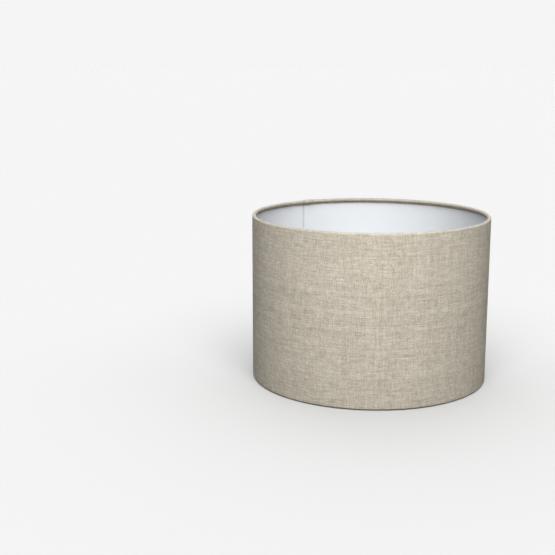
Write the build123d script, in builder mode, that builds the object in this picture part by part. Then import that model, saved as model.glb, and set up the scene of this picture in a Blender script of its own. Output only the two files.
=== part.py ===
"""Hard-lined drum lamp shade: a lined cloth wall rolled over two wire rings, with a
recessed three-spoke fitting at the bottom. Millimetres, +Z up, origin at the centre of the
base, on the surface that the shade stands on."""

from build123d import *
from math import acos, cos, degrees, radians, sin
import os

# Overall size
shade_diameter = 300.0
shade_height = 210.0

# Lined cloth wall
fabric_thickness = 0.6
liner_thickness = 0.4
bond_gap = 0.02  # left between faces that are glued together

# Seam where the two ends of the wall overlap, seen from above
seam_angle = 123.0  # from +X to the edge of the inner end, which shows inside the shade
seam_overlap = 10.5  # length of the overlap round the wall
seam_ramp = 5.0  # length over which the outer end steps out
seam_slit = 0.5  # gap between the inner end and the ramp
seam_tape_thickness = 0.1
seam_tape_margin = 1.0  # the tape stops this far inside the edges of the overlap

# Wire rings in the rolled edges
ring_wire = 3.0
ring_seat = 0.03  # between the wire and the liner beside it
ring_tape_thickness = 0.1
ring_tape_wrap = 250.0  # degrees of the wire's section that the tape covers
tuck_gap = 0.05  # between the tucked edge of the cloth and the liner

# Spokes
spoke_count = 3
first_spoke_angle = 90.0
spoke_wire = 2.6
spoke_foot = 14.0  # level stretch beside the bottom ring
spoke_reach = 8.0  # level stretch beside the fitting ring
spoke_bend = 10.0  # radius of both bends
spoke_weld = 4.5  # how far each spoke goes in under the fitting ring
weld_sink = 0.35  # depth pressed flat at the end of each spoke, at its weld
notch_side = 1.0  # cloth cut away on each side of a spoke
notch_below = 0.4  # cloth cut away below a spoke

# Fitting ring, for a lampholder with a 40 mm thread
fitting_recess = 30.0  # its underside above the base
fitting_hole = 42.0
fitting_width = 7.0  # of its flat, from the hole to the rim
fitting_thickness = 1.5
fitting_lip_depth = 1.0  # lip turned down round the hole
fitting_lip_wall = 1.2
fitting_edge = 0.4  # rounding of the rim

# Reducer ring, for a lampholder with a 28 mm thread
reducer_hole = 29.0
reducer_overlap = 5.0  # how far its flange reaches over the fitting's hole
reducer_thickness = 2.0
reducer_collar_depth = 3.2
reducer_collar_wall = 1.5
reducer_clearance = 0.3  # radial, between the collar and the fitting's hole
reducer_edge = 0.5  # rounding of the rim

# Radii of the wall, from its outside in
outer_radius = shade_diameter / 2
cloth_inner = outer_radius - fabric_thickness
liner_outer = cloth_inner - bond_gap
liner_inner = liner_outer - liner_thickness
tape_inner = outer_radius + bond_gap
lap_step = outer_radius - liner_inner + seam_tape_thickness + 2 * bond_gap

# Rolled edge, as a section in the radial plane: cloth round tape round wire
wire_radius = ring_wire / 2
taped_radius = wire_radius + ring_tape_thickness
roll_inner = taped_radius + bond_gap
roll_outer = roll_inner + fabric_thickness
ring_radius = liner_inner - ring_seat - wire_radius
ring_height = roll_outer
wall_height = shade_height - 2 * ring_height

# Angles round the seam
overlap_angle = degrees(seam_overlap / outer_radius)
lap_end = seam_angle - overlap_angle
ramp_start = seam_angle + degrees(seam_ramp / outer_radius)
inner_end = seam_angle - degrees(seam_slit / outer_radius)
tape_margin_angle = degrees(seam_tape_margin / outer_radius)

# Fitting
fitting_rim = fitting_hole / 2 + fitting_width
spoke_top = fitting_recess - spoke_wire / 2 + weld_sink
fitting_top = fitting_recess + fitting_thickness
collar_radius = fitting_hole / 2 - reducer_clearance

# The radial plane at each edge of the shade, with y pointing from the edge into the wall
bottom_edge = Plane.XZ
top_edge = Plane(origin=(0, 0, shade_height), x_dir=(1, 0, 0), z_dir=(0, 1, 0))


def polar(radius, angle):
    return (radius * cos(radians(angle)), radius * sin(radians(angle)))


def wall_plan(inner, thickness, height):
    """Plan of a strip that goes once round and steps out over its own start."""
    outer = inner + thickness
    turn = 360 - (ramp_start - inner_end)
    with BuildSketch(Plane.XY.offset(height)) as plan:
        with BuildLine():
            CenterArc((0, 0), outer, ramp_start, turn)
            Line(polar(outer, inner_end), polar(inner, inner_end))
            CenterArc((0, 0), inner, ramp_start, turn)
            Line(polar(inner, ramp_start), polar(inner + lap_step, seam_angle))
            CenterArc((0, 0), inner + lap_step, lap_end, overlap_angle)
            Line(polar(inner + lap_step, lap_end), polar(outer + lap_step, lap_end))
            CenterArc((0, 0), outer + lap_step, lap_end, overlap_angle)
            Line(polar(outer + lap_step, seam_angle), polar(outer, ramp_start))
        make_face()
    return plan.sketch


def hem_section(edge):
    """Section of the cloth's edge: under the wire, up inside it and over to the liner."""
    wire = (ring_radius, ring_height)
    corner = (outer_radius - roll_outer, ring_height)
    tail = liner_inner - tuck_gap - ring_radius
    tail_outer = degrees(acos(tail / roll_outer))
    tail_inner = degrees(acos(tail / roll_inner))
    with BuildSketch(edge) as section:
        with BuildLine():
            Line((cloth_inner, ring_height), (outer_radius, ring_height))
            CenterArc(corner, roll_outer, -90, 90)
            Line((corner[0], ring_height - roll_outer), (wire[0], ring_height - roll_outer))
            outside = CenterArc(wire, roll_outer, tail_outer, 270 - tail_outer)
            inside = CenterArc(wire, roll_inner, tail_inner, 270 - tail_inner)
            Line(outside @ 0, inside @ 0)
            Line((wire[0], ring_height - roll_inner), (corner[0], ring_height - roll_inner))
            CenterArc(corner, roll_inner, -90, 90)
        make_face()
    return section.sketch


def notches():
    """Blocks where the cloth's edge and the tape are slit to pass the spokes."""
    low = ring_height - spoke_wire / 2 - notch_below
    high = ring_height + 2 * roll_outer
    inside = ring_radius - 2 * roll_outer
    with BuildPart(mode=Mode.PRIVATE) as blocks:
        with BuildSketch(Plane.XY.offset(low)):
            with PolarLocations((inside + liner_inner) / 2, spoke_count, first_spoke_angle):
                Rectangle(liner_inner - inside, spoke_wire + 2 * notch_side)
        extrude(amount=high - low)
    return blocks.part


def make_fabric_cover():
    with BuildPart() as fabric_cover:
        extrude(wall_plan(cloth_inner, fabric_thickness, ring_height), amount=wall_height)
        for edge in (bottom_edge, top_edge):
            revolve(hem_section(edge), axis=Axis.Z)
        add(notches(), mode=Mode.SUBTRACT)
    return fabric_cover


def make_liner_panel():
    with BuildPart() as liner_panel:
        plan = wall_plan(liner_inner, liner_thickness, ring_height + bond_gap)
        extrude(plan, amount=wall_height - 2 * bond_gap)
    return liner_panel


def make_seam_tape():
    start = lap_end + tape_margin_angle
    sweep_angle = inner_end - tape_margin_angle - start
    with BuildPart() as seam_tape:
        with BuildSketch(Plane.XY.offset(ring_height + seam_tape_margin)):
            with BuildLine():
                inside = CenterArc((0, 0), tape_inner, start, sweep_angle)
                outside = CenterArc((0, 0), tape_inner + seam_tape_thickness, start, sweep_angle)
                Line(inside @ 0, outside @ 0)
                Line(inside @ 1, outside @ 1)
            make_face()
        extrude(amount=wall_height - 2 * seam_tape_margin)
    return seam_tape


def make_ring(edge):
    with BuildPart() as ring:
        with BuildSketch(edge):
            with Locations((ring_radius, ring_height)):
                Circle(wire_radius)
        revolve(axis=Axis.Z)
    return ring


def make_ring_tape(edge, notched):
    start = 180 - ring_tape_wrap / 2
    with BuildPart() as ring_tape:
        with BuildSketch(edge):
            with BuildLine():
                inside = CenterArc((ring_radius, ring_height), wire_radius, start, ring_tape_wrap)
                outside = CenterArc((ring_radius, ring_height), taped_radius, start, ring_tape_wrap)
                Line(inside @ 0, outside @ 0)
                Line(inside @ 1, outside @ 1)
            make_face()
        revolve(axis=Axis.Z)
        if notched:
            add(notches(), mode=Mode.SUBTRACT)
    return ring_tape


def make_spoke(angle, ring, fitting):
    """Wire from the bottom ring up to the fitting, coped to the ring and pressed flat under
    the fitting where each is welded."""
    radial = Plane(
        origin=(0, 0, 0),
        x_dir=(cos(radians(angle)), sin(radians(angle)), 0),
        z_dir=(sin(radians(angle)), -cos(radians(angle)), 0),
    )
    with BuildPart() as spoke:
        with BuildLine(radial) as route:
            FilletPolyline(
                (ring_radius, ring_height),
                (ring_radius - spoke_foot, ring_height),
                (fitting_rim + spoke_reach, spoke_top),
                (fitting_rim - spoke_weld, spoke_top),
                radius=spoke_bend,
            )
        with BuildSketch(Plane(origin=route.line @ 0, z_dir=route.line % 0)):
            Circle(spoke_wire / 2)
        sweep()
        add(ring.part, mode=Mode.SUBTRACT)
        add(fitting.part, mode=Mode.SUBTRACT)
    return spoke


def make_fitting_ring():
    with BuildPart() as fitting_ring:
        with BuildSketch(Plane.XY.offset(fitting_recess)):
            Circle(fitting_rim)
            Circle(fitting_hole / 2, mode=Mode.SUBTRACT)
        extrude(amount=fitting_thickness)
        rims = fitting_ring.edges().filter_by(GeomType.CIRCLE)
        fillet(rims.group_by(SortBy.RADIUS)[-1], fitting_edge)
        with BuildSketch(Plane.XY.offset(fitting_recess)):
            Circle(fitting_hole / 2 + fitting_lip_wall)
            Circle(fitting_hole / 2, mode=Mode.SUBTRACT)
        extrude(amount=-fitting_lip_depth)
    return fitting_ring


def make_reducer_ring():
    with BuildPart() as reducer_ring:
        with BuildSketch(Plane.XY.offset(fitting_top)):
            Circle(fitting_hole / 2 + reducer_overlap)
            Circle(reducer_hole / 2, mode=Mode.SUBTRACT)
        extrude(amount=reducer_thickness)
        rims = reducer_ring.edges().filter_by(GeomType.CIRCLE)
        fillet(rims.group_by(SortBy.RADIUS)[-1], reducer_edge)
        with BuildSketch(Plane.XY.offset(fitting_top)):
            Circle(collar_radius)
            Circle(collar_radius - reducer_collar_wall, mode=Mode.SUBTRACT)
        extrude(amount=-reducer_collar_depth)
    return reducer_ring


def write(made, name):
    made.part.label = name
    export_step(made.part, f"parts/{name}.step")


os.makedirs("parts", exist_ok=True)
bottom_ring = make_ring(bottom_edge)
fitting_ring = make_fitting_ring()
write(make_fabric_cover(), "fabric_cover")
write(make_liner_panel(), "liner_panel")
write(make_seam_tape(), "seam_tape")
write(bottom_ring, "bottom_ring")
write(make_ring(top_edge), "top_ring")
write(make_ring_tape(bottom_edge, notched=True), "bottom_ring_tape")
write(make_ring_tape(top_edge, notched=False), "top_ring_tape")
write(fitting_ring, "fitting_ring")
write(make_reducer_ring(), "reducer_ring")
for number in range(spoke_count):
    spoke = make_spoke(first_spoke_angle + number * 360 / spoke_count, bottom_ring, fitting_ring)
    write(spoke, f"spoke_{number + 1}")
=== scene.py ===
"""Linen drum lamp shade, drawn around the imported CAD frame. Metres, +Z up, base centre at the
origin. The cloth and the liner are built here as sheets; the wire frame, the fitting and the
reducer ring keep their CAD shapes and get materials."""

from math import cos, pi, radians, sin

import bpy
import numpy as np
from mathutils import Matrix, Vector


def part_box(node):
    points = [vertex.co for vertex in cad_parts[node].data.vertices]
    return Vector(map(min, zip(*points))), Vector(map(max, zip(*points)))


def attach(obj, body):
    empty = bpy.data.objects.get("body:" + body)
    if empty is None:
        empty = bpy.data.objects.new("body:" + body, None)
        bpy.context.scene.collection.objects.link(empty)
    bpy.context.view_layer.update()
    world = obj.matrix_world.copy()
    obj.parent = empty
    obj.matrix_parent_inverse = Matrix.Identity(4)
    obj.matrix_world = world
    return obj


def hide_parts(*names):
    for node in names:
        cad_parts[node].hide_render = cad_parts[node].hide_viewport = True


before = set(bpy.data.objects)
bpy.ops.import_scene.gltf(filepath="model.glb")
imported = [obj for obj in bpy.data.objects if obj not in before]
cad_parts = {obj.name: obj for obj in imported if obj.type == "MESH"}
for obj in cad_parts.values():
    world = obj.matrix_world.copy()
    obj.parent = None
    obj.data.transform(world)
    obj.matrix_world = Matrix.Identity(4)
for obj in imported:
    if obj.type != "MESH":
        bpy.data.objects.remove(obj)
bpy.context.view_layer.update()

# ---------------------------------------------------------------- sizes, from the frame
cover_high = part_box("fabric_cover")[1]
wire_low, wire_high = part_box("top_ring")
liner_low, liner_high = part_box("liner_panel")

shade_radius = cover_high[0]
shade_height = cover_high[2]
wire_radius = (wire_high[2] - wire_low[2]) / 2
ring_radius = wire_high[0] - wire_radius
ring_depth = shade_height - (wire_high[2] + wire_low[2]) / 2  # from an edge to its wire's centre

# Cloth and liner
cloth_thickness = 0.0006
liner_thickness = 0.0004
bond_gap = 0.00002
tape_thickness = 0.0001
lap_step = cloth_thickness + liner_thickness + tape_thickness + 3 * bond_gap
liner_inner_radius = shade_radius - cloth_thickness - bond_gap - liner_thickness
roll_radius = ring_depth - cloth_thickness / 2  # of the cloth's middle, round the wire
corner_radius_at = shade_radius - ring_depth  # centre of the outer rounding of each edge
hem_lap = 0.00062  # thickness that the overlap adds in the rolled edges, where it is pressed
roll_end = 306  # degrees that the cloth turns round the wire before it is tucked
tuck_drop = 0.0030  # how far the tucked edge reaches down beside the liner
tuck_rows = 4
wall_rows = 34

# Unevenness of the stretched wall and of its rolled edges
wall_ripple = 0.00010
edge_pucker = 0.00009

# The strip's outer end, folded under
fold_width = 0.0020
fold_blend = 0.0014  # length over which it thickens
fold_clearance = 0.00035  # left between it and the layer below
fold_hem_share = 0.3  # how much of its inward shift is left in the rolled edges

# Seam: angles from +X seen from above. The strip starts at its inner end and runs clockwise
seam_angle = 123.0
seam_slit_angle = 0.2
overlap_angle = 4.0
ramp_angle = 0.7
inner_end = seam_angle - seam_slit_angle
lap_end = seam_angle - overlap_angle
strip_sweep = inner_end - lap_end + 360
ramp_from = inner_end - (seam_angle + ramp_angle) + 360
ramp_to = inner_end - seam_angle + 360

# Spokes
spoke_angles = (90.0, 210.0, 330.0)
slit_half_width = 0.0023


# ---------------------------------------------------------------- small helpers
def smoothstep(x):
    x = np.clip(x, 0, 1)
    return x * x * (3 - 2 * x)


def waves(count, shortest, longest, seed):
    """Smooth random ripple along a length: a sum of sines, about 1 high, for an array of places."""
    draw = np.random.default_rng(seed)
    lengths = np.exp(draw.uniform(np.log(shortest), np.log(longest), count))
    phases = draw.uniform(0, 2 * pi, count)
    sizes = draw.uniform(0.5, 1.0, count) * np.sqrt(lengths / longest)
    sizes /= np.sqrt((sizes**2).sum() / 2)

    def ripple(place):
        place = np.asarray(place)[..., None]
        return (sizes * np.sin(2 * pi * place / lengths + phases)).sum(-1)

    return ripple


class Graph:
    """Short names for the shader nodes of one material."""

    def __init__(self, name):
        self.material = bpy.data.materials.new(name)
        self.material.use_nodes = True
        self.tree = self.material.node_tree
        self.shader = self.tree.nodes["Principled BSDF"]

    def add(self, kind, **values):
        node = self.tree.nodes.new(kind)
        for key, value in values.items():
            setattr(node, key, value)
        return node

    def put(self, socket, value):
        if isinstance(value, bpy.types.NodeSocket):
            self.tree.links.new(value, socket)
        else:
            socket.default_value = value

    def math(self, operation, a, b=0.0, c=0.0, clamp=False):
        node = self.add("ShaderNodeMath", operation=operation, use_clamp=clamp)
        for socket, value in zip(node.inputs, (a, b, c)):
            self.put(socket, value)
        return node.outputs[0]

    def vector(self, x, y, z=0.0):
        node = self.add("ShaderNodeCombineXYZ")
        for socket, value in zip(node.inputs, (x, y, z)):
            self.put(socket, value)
        return node.outputs[0]

    def noise(self, place, scale=1.0, detail=2.0, roughness=0.5):
        node = self.add("ShaderNodeTexNoise")
        self.put(node.inputs["Vector"], place)
        node.inputs["Scale"].default_value = scale
        node.inputs["Detail"].default_value = detail
        node.inputs["Roughness"].default_value = roughness
        return node.outputs["Fac"]

    def white(self, x):
        node = self.add("ShaderNodeTexWhiteNoise", noise_dimensions="1D")
        self.put(node.inputs["W"], x)
        return node.outputs["Value"]

    def mix(self, factor, a, b, blend="MIX"):
        node = self.add("ShaderNodeMix", data_type="RGBA", blend_type=blend)
        self.put(node.inputs[0], factor)
        self.put(node.inputs[6], a)
        self.put(node.inputs[7], b)
        return node.outputs[2]

    def ramp(self, factor, stops):
        """stops is a list of (place, colour)."""
        node = self.add("ShaderNodeValToRGB")
        band = node.color_ramp
        while len(band.elements) < len(stops):
            band.elements.new(0.5)
        for element, (place, colour) in zip(band.elements, stops):
            element.position = place
            element.color = colour
        self.put(node.inputs[0], factor)
        return node.outputs[0]

    def bump(self, height, distance, strength=1.0):
        node = self.add("ShaderNodeBump")
        node.inputs["Strength"].default_value = strength
        node.inputs["Distance"].default_value = distance
        self.put(node.inputs["Height"], height)
        self.put(self.shader.inputs["Normal"], node.outputs[0])


def grey(value):
    return (value, value, value, 1.0)


# ---------------------------------------------------------------- sheets
def thick_sheet(name, outer, inner, present, flat_map, bake_map):
    """Closed mesh of a sheet from its two skins. outer and inner are (columns, rows, 3) grids,
    present says which cells exist, and both maps give each grid point a place in the image."""
    columns, rows = outer.shape[:2]
    count = columns * rows
    index = np.arange(count).reshape(columns, rows)
    faces, marks = [], []

    def quad(a, b, c, d, skin, cell):
        faces.append((a, b, c, d))
        marks.append((skin, cell))

    for i in range(columns - 1):
        for j in range(rows - 1):
            if not present[i, j]:
                continue
            a, b, c, d = index[i, j], index[i + 1, j], index[i + 1, j + 1], index[i, j + 1]
            quad(d, c, b, a, 0, (i, j))
            quad(a + count, b + count, c + count, d + count, 1, (i, j))
            if i == 0 or not present[i - 1, j]:
                quad(a, a + count, d + count, d, 2, (i, j))
            if i == columns - 2 or not present[i + 1, j]:
                quad(c, c + count, b + count, b, 2, (i, j))
            if j == 0 or not present[i, j - 1]:
                quad(b, b + count, a + count, a, 2, (i, j))
            if j == rows - 2 or not present[i, j + 1]:
                quad(d, d + count, c + count, c, 2, (i, j))
    points = np.concatenate([outer.reshape(-1, 3), inner.reshape(-1, 3)])
    used = np.unique(np.array(faces))
    remap = np.full(len(points), -1)
    remap[used] = np.arange(len(used))
    mesh = bpy.data.meshes.new(name)
    mesh.from_pydata(points[used].tolist(), [], [[int(remap[v]) for v in f] for f in faces])
    mesh.update()
    for map_name, skins in (("cloth", flat_map), ("OFBake", bake_map)):
        layer = mesh.uv_layers.new(name=map_name)
        values = np.zeros((len(mesh.loops), 2))
        at = 0
        for face, (skin, cell) in zip(faces, marks):
            for vertex in face:
                side, place = divmod(int(vertex), count)
                i, j = divmod(place, rows)
                values[at] = skins(i, j, 1 if skin == 1 else 0, cell)
                at += 1
        layer.uv.foreach_set("vector", values.astype(np.float32).ravel())
    mesh.polygons.foreach_set("use_smooth", [True] * len(mesh.polygons))
    mesh.set_sharp_from_angle(angle=radians(50))
    thing = bpy.data.objects.new(name, mesh)
    bpy.context.collection.objects.link(thing)
    return thing


def folded_strip(place, length, up, shown_skin):
    """Image places of a long strip: the skin that shows is cut into four lengths, laid two by
    two, and the hidden one is squeezed into a band above them. up runs from 0 to 1 across it."""
    lengths = 4
    one = length / lengths
    margin, used = 0.01, 0.98
    block_height = 0.468
    band_low, band_height = 0.945, 0.05

    def bake_map(i, j, skin, cell):
        if skin != shown_skin:
            return margin + used * place[i] / length, band_low + band_height * up[j]
        number = min(int((place[cell[0]] + 1e-9) / one), lengths - 1)
        x = (place[i] - number * one) / one
        block_x, block_y = divmod(number, 2)
        return (block_x + margin + used * x) / 2, (block_y + margin + used * up[j]) * block_height

    return bake_map


def strip_columns(extra):
    """Places along the strip, as degrees swept from its inner end. extra are sweeps that need
    fine steps around them."""
    coarse = np.arange(0, strip_sweep, 0.72)
    fine = [np.linspace(0, 0.6, 5), np.linspace(ramp_from - 0.4, strip_sweep, 56)]
    fine += [np.linspace(at - 1.3, at + 1.3, 27) for at in extra]
    keep = np.ones(len(coarse), bool)
    for block in fine:
        keep &= (coarse < block[0] - 0.2) | (coarse > block[-1] + 0.2)
    return np.sort(np.concatenate([coarse[keep]] + fine))


def strip_offset(sweep):
    """How far the strip has stepped out over its own start."""
    return lap_step * smoothstep((sweep - ramp_from) / (ramp_to - ramp_from))


def around(sweep, radius, height):
    angle = np.radians(inner_end - sweep)
    return np.stack([radius * np.cos(angle), radius * np.sin(angle), height], -1)


# ---------------------------------------------------------------- cloth
def edge_arcs():
    """Rows of the rolled edge past the wall: the centre's radius and the angle of each, with 0
    pointing outwards and 90 towards the edge."""
    corner = [(corner_radius_at, angle) for angle in np.linspace(0, 90, 9)[1:]]
    return corner + [(ring_radius, angle) for angle in np.linspace(90, roll_end, 25)]


def cloth_section(offset, hem_offset):
    """Middle line of the cloth at one place round the strip: radius, height and the outward
    normal of every row, from the bottom tuck up the wall to the top tuck."""
    liner_face = liner_inner_radius - cloth_thickness / 2 - bond_gap
    half = []
    for centre, angle in edge_arcs():
        blend = smoothstep(angle / 60)
        grown = roll_radius + offset * (1 - blend) + hem_offset * blend
        turn = radians(angle)
        half.append((centre + grown * cos(turn), grown * sin(turn), cos(turn), sin(turn)))
    last = half[-1]
    for k in range(1, tuck_rows + 1):
        part = k / tuck_rows
        radius = last[0] + (liner_face - last[0]) * smoothstep(part * 1.8)
        half.append((radius, last[1] - tuck_drop * part, -1.0, 0.0))
    half = np.array(half)
    low_edge = ring_depth
    high_edge = shade_height - ring_depth
    bottom = half[::-1].copy()
    bottom[:, 1] = low_edge - bottom[:, 1]
    bottom[:, 3] *= -1
    top = half.copy()
    top[:, 1] += high_edge
    heights = np.linspace(low_edge, high_edge, wall_rows)
    wall = np.zeros((wall_rows, 4))
    wall[:, 0] = shade_radius - cloth_thickness / 2 + offset
    wall[:, 1] = heights
    wall[:, 2] = 1.0
    return np.concatenate([bottom, wall, top])


def make_cloth():
    spoke_sweeps = [(inner_end - angle) % 360 for angle in spoke_angles]
    sweeps = strip_columns(spoke_sweeps)
    lap = smoothstep((sweeps - ramp_from) / (ramp_to - ramp_from))
    sections = np.array([cloth_section(lap_step * k, hem_lap * k) for k in lap])
    # lay the unevenness of hand-rolled cloth over the plain sections
    edge_count = (sections.shape[1] - wall_rows) // 2
    rows = np.arange(sections.shape[1])
    turned = np.clip((edge_count - rows) / 6, 0, 1)
    turned = turned + np.clip((rows - edge_count - wall_rows + 1) / 6, 0, 1)
    place = np.radians(sweeps) * shade_radius
    slow = waves(9, 0.05, 0.31, 3)
    puckers = [waves(26, 0.006, 0.035, seed) for seed in (11, 12)]
    away = slow(place)[:, None] * (1 - turned)[None, :] * wall_ripple
    for side, ripple in enumerate(puckers):
        mine = (rows < edge_count) if side == 0 else (rows >= edge_count + wall_rows)
        away += ripple(place)[:, None] * (turned * mine)[None, :] * edge_pucker
    middle = sections[:, :, :2] + sections[:, :, 2:] * away[:, :, None]
    half = np.full(sections.shape[:2], cloth_thickness / 2)
    # the outer end is folded under: it thickens inwards, and its last millimetre is rounded
    length = np.radians(strip_sweep) * shade_radius
    to_end = (length - place)[:, None]
    fold = smoothstep(1 - (to_end - fold_width) / fold_blend)
    fold_half = (lap_step + cloth_thickness) / 2 - fold_clearance
    shift = -(fold_half - cloth_thickness / 2) * fold
    half = half + (fold_half - cloth_thickness / 2) * fold
    rounded = np.sqrt(np.clip(1 - np.clip(1 - to_end / fold_half, 0, 1) ** 2, 0.04, 1))
    half = half * rounded
    is_wall = ((rows >= edge_count) & (rows < edge_count + wall_rows))[None, :]
    middle = middle + sections[:, :, 2:] * (shift * np.where(is_wall, 1, fold_hem_share))[:, :, None]
    outer = middle + sections[:, :, 2:] * half[:, :, None]
    inner = middle - sections[:, :, 2:] * half[:, :, None]
    # nothing reaches below the surface that the shade stands on, and the layer under the lap
    # stays a little above it
    bearing = (inner_end - sweeps) % 360
    under_lap = (lap_end - 0.5 < bearing) & (bearing < seam_angle + 0.1) & (sweeps < 180)
    lowest = np.where(under_lap, 0.0003, 0.0)[:, None]
    least_thickness, most_rise = 0.00025, 0.0007
    outer[:, :, 1] = np.maximum(outer[:, :, 1], lowest)
    inner[:, :, 1] = np.maximum(inner[:, :, 1], lowest + least_thickness)
    outer[:, :, 1] = np.minimum(outer[:, :, 1], shade_height + most_rise)
    # slits where the spokes pass
    present = np.ones((len(sweeps) - 1, sections.shape[1] - 1), bool)
    middle_sweep = (sweeps[1:] + sweeps[:-1]) / 2
    opening = tuck_rows + 13  # rows of the bottom tuck and roll that each slit cuts
    for at in spoke_sweeps:
        close = np.abs(middle_sweep - at) * pi / 180 * ring_radius < slit_half_width
        present[close, :opening] = False
    turn = sweeps[:, None] * np.ones(len(rows))[None, :]
    grids = [around(turn, g[:, :, 0], g[:, :, 1]) for g in (outer, inner)]

    # flat map: metres along the strip and across it
    step = np.linalg.norm(np.diff(sections[0, :, :2], axis=0), axis=1)
    across = np.concatenate([[0], np.cumsum(step)])
    width = across[-1]

    def flat_map(i, j, skin, cell):
        hidden_skin_shift = 0.5
        return place[i], across[j] + (hidden_skin_shift if skin else 0.0)

    bake_map = folded_strip(place, length, across / width, shown_skin=0)
    cloth = thick_sheet("linen_cover", grids[0], grids[1], present, flat_map, bake_map)
    return cloth, (float(width), float(length))


# ---------------------------------------------------------------- liner
def make_liner():
    sweeps = strip_columns([])
    offset = strip_offset(sweeps)
    heights = np.linspace(liner_low[2], liner_high[2], 20)
    place = np.radians(sweeps) * shade_radius
    slow = waves(9, 0.05, 0.31, 3)
    away = slow(place) * wall_ripple
    turn = sweeps[:, None] * np.ones(len(heights))[None, :]
    tall = np.ones(len(sweeps))[:, None] * heights[None, :]
    to_edge = np.minimum(heights - liner_low[2], liner_high[2] - heights)
    edge = np.clip(to_edge / 0.02, 0, 1)
    inner_radius = liner_inner_radius + offset[:, None] + away[:, None] * edge[None, :]
    grids = [around(turn, inner_radius + t, tall) for t in (liner_thickness, 0.0)]
    present = np.ones((len(sweeps) - 1, len(heights) - 1), bool)
    length = np.radians(strip_sweep) * shade_radius
    width = heights[-1] - heights[0]

    def flat_map(i, j, skin, cell):
        return place[i], heights[j]

    bake_map = folded_strip(place, length, (heights - heights[0]) / width, shown_skin=1)
    liner = thick_sheet("white_liner", grids[0], grids[1], present, flat_map, bake_map)
    return liner, (float(width), float(length))


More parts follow.
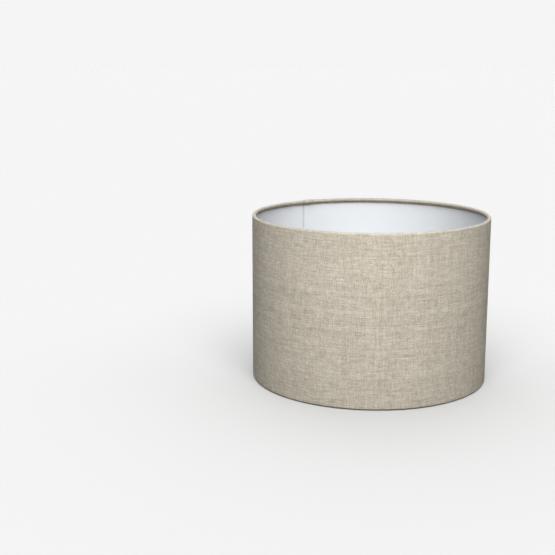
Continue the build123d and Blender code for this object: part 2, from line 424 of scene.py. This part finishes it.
# ---------------------------------------------------------------- materials
def linen(cloth_width):
    """Plain weave of uneven yarns, heathered cream and taupe."""
    g = Graph("linen_weave")
    pitch = 0.00114  # between neighbouring yarns
    place = g.add("ShaderNodeUVMap", uv_map="cloth").outputs[0]
    parts = g.add("ShaderNodeSeparateXYZ")
    g.put(parts.inputs[0], place)
    along, up = parts.outputs[0], parts.outputs[1]
    # yarns wander a little
    drift_u = g.noise(place, 38.0, 1.0)
    sway_u = g.math("MULTIPLY", g.math("SUBTRACT", drift_u, 0.5), 0.0020)
    drift_v = g.noise(g.vector(up, along), 31.0, 1.0)
    sway_v = g.math("MULTIPLY", g.math("SUBTRACT", drift_v, 0.5), 0.0016)
    x = g.math("DIVIDE", g.math("ADD", along, sway_u), pitch)
    y = g.math("DIVIDE", g.math("ADD", up, sway_v), pitch)

    def yarns(across_place, along_place, seed, slub_rate, fine_rate):
        """One set of parallel yarns. The rates are how fast the slubs and the fine flecks change
        along a yarn, and sign says whether it starts above or below the other set."""
        number = g.math("FLOOR", across_place)
        inside = g.math("SUBTRACT", across_place, number)
        centred = g.math("MULTIPLY_ADD", inside, 2.0, -1.0)
        roundness = g.math("SUBTRACT", 1.0, g.math("MULTIPLY", centred, centred))
        own = g.math("MULTIPLY_ADD", number, 5.37, seed)
        slub_place = g.vector(g.math("MULTIPLY", along_place, slub_rate), own)
        fine_place = g.vector(g.math("MULTIPLY", along_place, fine_rate), own, 3.1)
        return {
            "roundness": roundness,
            "slub": g.noise(slub_place, 1.0, 2.0, 0.55),
            "fine": g.noise(fine_place, 1.0, 2.0, 0.6),
            "own": g.white(own),
            "sign": g.math("MULTIPLY_ADD", g.math("PINGPONG", number, 1.0), -2.0, 1.0),
        }

    weft = yarns(y, x, 11.7, 0.075, 0.50)
    warp = yarns(x, y, 71.3, 0.095, 0.60)
    # which yarn lies on top at each crossing
    over = g.math("MULTIPLY", g.math("SINE", g.math("MULTIPLY", x, pi)), weft["sign"])
    under = g.math("MULTIPLY", g.math("SINE", g.math("MULTIPLY", y, pi)), warp["sign"])
    sway = g.math("MULTIPLY", g.math("ADD", over, under), 0.5)
    weft_bulge = g.math("MULTIPLY", weft["slub"], 1.1)
    warp_bulge = g.math("MULTIPLY", warp["slub"], 1.1)
    weft_high = g.math("ADD", g.math("MULTIPLY_ADD", weft["roundness"], 0.5, sway), weft_bulge)
    warp_high = g.math("SUBTRACT", g.math("MULTIPLY_ADD", warp["roundness"], 0.5, warp_bulge), sway)
    top = g.math("SUBTRACT", weft_high, warp_high)
    shows_weft = g.math("MULTIPLY_ADD", top, 2.5, 0.56, clamp=True)
    height = g.math("MAXIMUM", weft_high, warp_high)

    def tone(yarn, slub_share, fine_share, own_share):
        middle = -(slub_share + fine_share + own_share) / 2 + 0.5
        value = g.math("MULTIPLY_ADD", yarn["slub"], slub_share, middle)
        value = g.math("MULTIPLY_ADD", yarn["fine"], fine_share, value)
        return g.math("MULTIPLY_ADD", yarn["own"], own_share, value, clamp=True)

    weft_tone = tone(weft, 1.75, 1.1, 0.24)
    warp_tone = tone(warp, 1.35, 1.1, 0.18)
    value = g.math(
        "ADD",
        g.math("MULTIPLY", weft_tone, shows_weft),
        g.math("MULTIPLY", warp_tone, g.math("SUBTRACT", 1.0, shows_weft)),
    )
    cloud = g.noise(place, 26.0, 2.0, 0.5)
    value = g.math("MULTIPLY_ADD", g.math("SUBTRACT", cloud, 0.5), 0.08, value, clamp=True)
    taupe, natural, cream = (0.226, 0.200, 0.159, 1), (0.373, 0.337, 0.275, 1), (0.548, 0.510, 0.434, 1)
    colour = g.ramp(value, [(0.0, taupe), (0.5, natural), (1.0, cream)])
    # painted shade: the colour is darkened where the yarns lie low, in the gaps between them
    yarn_gap_shade = g.math("MULTIPLY_ADD", height, 0.75, 0.30, clamp=True)
    shaded = g.ramp(yarn_gap_shade, [(0.0, (0.55, 0.52, 0.48, 1)), (1.0, grey(1.0))])
    colour = g.mix(1.0, colour, shaded, "MULTIPLY")
    # painted shade, slight and cool, where the edges are tucked in under the roll, and a painted
    # highlight, paler, over the top of the roll
    edge_zone = 0.02
    to_edge = g.math("MINIMUM", up, g.math("SUBTRACT", cloth_width, up))
    from_edge = g.math("DIVIDE", to_edge, edge_zone)
    painted_tuck_shade = g.ramp(from_edge, [(0.20, (0.97, 0.93, 0.99, 1)), (0.34, grey(1.0))])
    colour = g.mix(1.0, colour, painted_tuck_shade, "MULTIPLY")
    # painted highlight: the cloth is mixed towards a pale cream over the top of the roll
    highlight_strength = grey(0.09)
    painted_roll_highlight = g.ramp(from_edge, [(0.28, grey(0.0)), (0.38, highlight_strength), (0.56, highlight_strength), (0.68, grey(0.0))])
    colour = g.mix(painted_roll_highlight, colour, (0.80, 0.78, 0.72, 1))
    # painted shade: the colour is darker towards the bottom edge, where it stands on the floor
    spot = g.add("ShaderNodeSeparateXYZ")
    g.put(spot.inputs[0], g.add("ShaderNodeTexCoord").outputs["Object"])
    base_shade_height = 0.004
    above_floor = g.math("DIVIDE", spot.outputs[2], base_shade_height)
    painted_base_shade = g.ramp(above_floor, [(0.25, (0.36, 0.35, 0.33, 1)), (0.68, grey(1.0))])
    colour = g.mix(1.0, colour, painted_base_shade, "MULTIPLY")
    g.put(g.shader.inputs["Base Color"], colour)
    g.shader.inputs["Roughness"].default_value = 0.92
    g.shader.inputs["Specular IOR Level"].default_value = 0.12
    g.shader.inputs["Sheen Weight"].default_value = 0.03
    g.shader.inputs["Sheen Roughness"].default_value = 0.6
    g.bump(height, 0.00022, 0.55)
    return g.material


def laminate():
    """White lining sheet: almost even, with a faint rolled grain and soft mottling."""
    g = Graph("white_laminate")
    place = g.add("ShaderNodeUVMap", uv_map="cloth").outputs[0]
    stretch = g.add("ShaderNodeMapping")
    g.put(stretch.inputs["Vector"], place)
    stretch.inputs["Scale"].default_value = (60.0, 900.0, 1.0)
    grain = g.noise(stretch.outputs[0], 1.0, 2.0, 0.5)
    mottle = g.noise(place, 45.0, 3.0, 0.5)
    value = g.math("MULTIPLY_ADD", grain, 0.35, g.math("MULTIPLY", mottle, 0.65))
    colour = g.ramp(value, [(0.25, (0.757, 0.781, 0.802, 1)), (0.75, (0.783, 0.806, 0.828, 1))])
    g.put(g.shader.inputs["Base Color"], colour)
    rough = g.math("MULTIPLY_ADD", mottle, 0.16, 0.50)
    g.put(g.shader.inputs["Roughness"], rough)
    g.shader.inputs["Specular IOR Level"].default_value = 0.35
    g.bump(g.math("ADD", g.noise(place, 1500.0, 1.0), grain), 0.00002, 0.35)
    return g.material


def coated_wire():
    """White powder coat: fine orange-peel, slightly thin and grey in patches."""
    g = Graph("white_powder_coat")
    place = g.add("ShaderNodeTexCoord").outputs["Object"]
    peel = g.noise(place, 1400.0, 2.0, 0.5)
    patches = g.noise(place, 120.0, 3.0, 0.6)
    colour = g.ramp(patches, [(0.3, (0.76, 0.765, 0.76, 1)), (0.6, (0.86, 0.865, 0.87, 1))])
    g.put(g.shader.inputs["Base Color"], colour)
    g.put(g.shader.inputs["Roughness"], g.math("MULTIPLY_ADD", patches, 0.2, 0.28))
    g.bump(peel, 0.00006, 0.4)
    return g.material


def moulded_plastic():
    """Ivory-white moulded plastic with a fine spark-eroded texture."""
    g = Graph("reducer_plastic")
    place = g.add("ShaderNodeTexCoord").outputs["Object"]
    texture = g.noise(place, 2200.0, 2.0, 0.6)
    patches = g.noise(place, 160.0, 2.0, 0.5)
    colour = g.ramp(patches, [(0.3, (0.83, 0.82, 0.78, 1)), (0.7, (0.88, 0.87, 0.84, 1))])
    g.put(g.shader.inputs["Base Color"], colour)
    g.put(g.shader.inputs["Roughness"], g.math("MULTIPLY_ADD", texture, 0.18, 0.34))
    g.bump(texture, 0.00003, 0.35)
    return g.material


def tape_film():
    """Thin yellowish double-sided tape."""
    g = Graph("tape_film")
    place = g.add("ShaderNodeTexCoord").outputs["Object"]
    patches = g.noise(place, 220.0, 3.0, 0.6)
    colour = g.ramp(patches, [(0.3, (0.72, 0.70, 0.63, 1)), (0.7, (0.82, 0.81, 0.76, 1))])
    g.put(g.shader.inputs["Base Color"], colour)
    g.put(g.shader.inputs["Roughness"], g.math("MULTIPLY_ADD", patches, 0.2, 0.35))
    return g.material


def floor_material():
    """Pale sweep: white to look at, but it throws back only a little light on the shade."""
    g = Graph("studio_floor")
    g.shader.inputs["Base Color"].default_value = grey(0.349)
    g.shader.inputs["Roughness"].default_value = 0.9
    g.shader.inputs["Specular IOR Level"].default_value = 0.0
    dull = g.add("ShaderNodeBsdfDiffuse")
    dull.inputs["Color"].default_value = grey(0.075)
    share = g.add("ShaderNodeMixShader")
    g.put(share.inputs[0], g.add("ShaderNodeLightPath").outputs["Is Camera Ray"])
    g.put(share.inputs[1], dull.outputs[0])
    g.put(share.inputs[2], g.shader.outputs[0])
    g.put(g.tree.nodes["Material Output"].inputs["Surface"], share.outputs[0])
    return g.material


def dress(thing, material):
    thing.data.materials.clear()
    thing.data.materials.append(material)


# ---------------------------------------------------------------- stage, light, camera
def make_floor():
    size = 60.0
    mesh = bpy.data.meshes.new("floor")
    corners = [(-size, -size, 0), (size, -size, 0), (size, size, 0), (-size, size, 0)]
    mesh.from_pydata(corners, [], [(0, 1, 2, 3)])
    floor = bpy.data.objects.new("floor", mesh)
    bpy.context.collection.objects.link(floor)
    dress(floor, floor_material())
    return floor


def make_world():
    """Seamless pale backdrop, with very little light of its own."""
    world = bpy.data.worlds.new("studio")
    bpy.context.scene.world = world
    world.use_nodes = True
    tree = world.node_tree
    path = tree.nodes.new("ShaderNodeLightPath")
    strength = tree.nodes.new("ShaderNodeMapRange")
    strength.inputs["To Min"].default_value = 0.04
    strength.inputs["To Max"].default_value = 0.913
    tree.links.new(path.outputs["Is Camera Ray"], strength.inputs["Value"])
    tree.links.new(strength.outputs[0], tree.nodes["Background"].inputs["Strength"])
    tree.nodes["Background"].inputs["Color"].default_value = grey(1.0)


def add_light(name, data, place, target, only=None):
    """only is the one piece that the light falls on."""
    light = bpy.data.objects.new(name, data)
    light.location = place
    light.rotation_euler = (Vector(target) - Vector(place)).to_track_quat("-Z", "Y").to_euler()
    light.visible_camera = False
    bpy.context.collection.objects.link(light)
    if only:
        lit = bpy.data.collections.new(name + "_falls_on")
        lit.objects.link(only)
        light.light_linking.receiver_collection = lit


def distant_softbox(name, azimuth, elevation, spread, strength, only=None):
    """azimuth 0 shines from the camera's side (-Y), 90 from +X; spread is the softbox's angle."""
    data = bpy.data.lights.new(name, "SUN")
    data.energy = strength
    data.angle = radians(spread)
    flat = cos(radians(elevation))
    place = (sin(radians(azimuth)) * flat, -cos(radians(azimuth)) * flat, sin(radians(elevation)))
    add_light(name, data, place, (0, 0, 0), only)


def near_softbox(name, place, power, only):
    """Small square softbox, turned to the middle of the shade's front."""
    data = bpy.data.lights.new(name, "AREA")
    data.shape = "SQUARE"
    data.size = 0.2
    data.energy = power
    add_light(name, data, place, (0, -0.1, 0.12), only)


def make_camera():
    """The photograph's view: from the front, a little left of the shade and 12 degrees down."""
    data = bpy.data.cameras.new("camera")
    data.lens = 66.84
    data.sensor_width = 36.0
    data.clip_start = 0.01
    data.clip_end = 200.0
    camera = bpy.data.objects.new("camera", data)
    camera.location = (-0.1179, -1.2932, 0.4036)
    camera.rotation_euler = (radians(90 - 12.065), 0, 0)
    bpy.context.collection.objects.link(camera)
    bpy.context.scene.camera = camera


# ---------------------------------------------------------------- build
cloth, cloth_flat = make_cloth()
liner, liner_flat = make_liner()
dress(cloth, linen(cloth_flat[0]))
dress(liner, laminate())
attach(cloth, "shade")
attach(liner, "shade")
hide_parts("fabric_cover")
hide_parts("liner_panel")

wire_coat = coated_wire()
film = tape_film()
plastic = moulded_plastic()
for node in ("top_ring", "bottom_ring", "spoke_1", "spoke_2", "spoke_3", "fitting_ring"):
    dress(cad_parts[node], wire_coat)
for node in ("seam_tape", "top_ring_tape", "bottom_ring_tape"):
    dress(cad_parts[node], film)
dress(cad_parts["reducer_ring"], plastic)

floor = make_floor()
make_world()
# light on everything: azimuth, elevation, spread, strength
distant_softbox("front_high", 0, 55, 40, 2.80)
distant_softbox("front_left", -25, 35, 20, 0.71)
distant_softbox("front_right", 25, 35, 20, 0.64)
distant_softbox("front_low", 0, 28, 20, 0.25)
distant_softbox("back_high", 180, 40, 60, 0.92)
# light kept to one piece, as with flags in a studio, to balance them as in the photograph
near_softbox("cloth_left", (-0.34, -0.38, 0.27), 0.56, cloth)
near_softbox("cloth_front", (0, -0.45, 0.27), 0.40, cloth)
near_softbox("cloth_right", (0.34, -0.38, 0.27), 0.44, cloth)
distant_softbox("cloth_back", 180, 8, 40, 2.2, cloth)
distant_softbox("lining_back", 180, 15, 40, 0.5, liner)
distant_softbox("floor_dome", 180, 70, 150, 4.6, floor)
make_camera()
bpy.context.scene.view_settings.view_transform = "Standard"
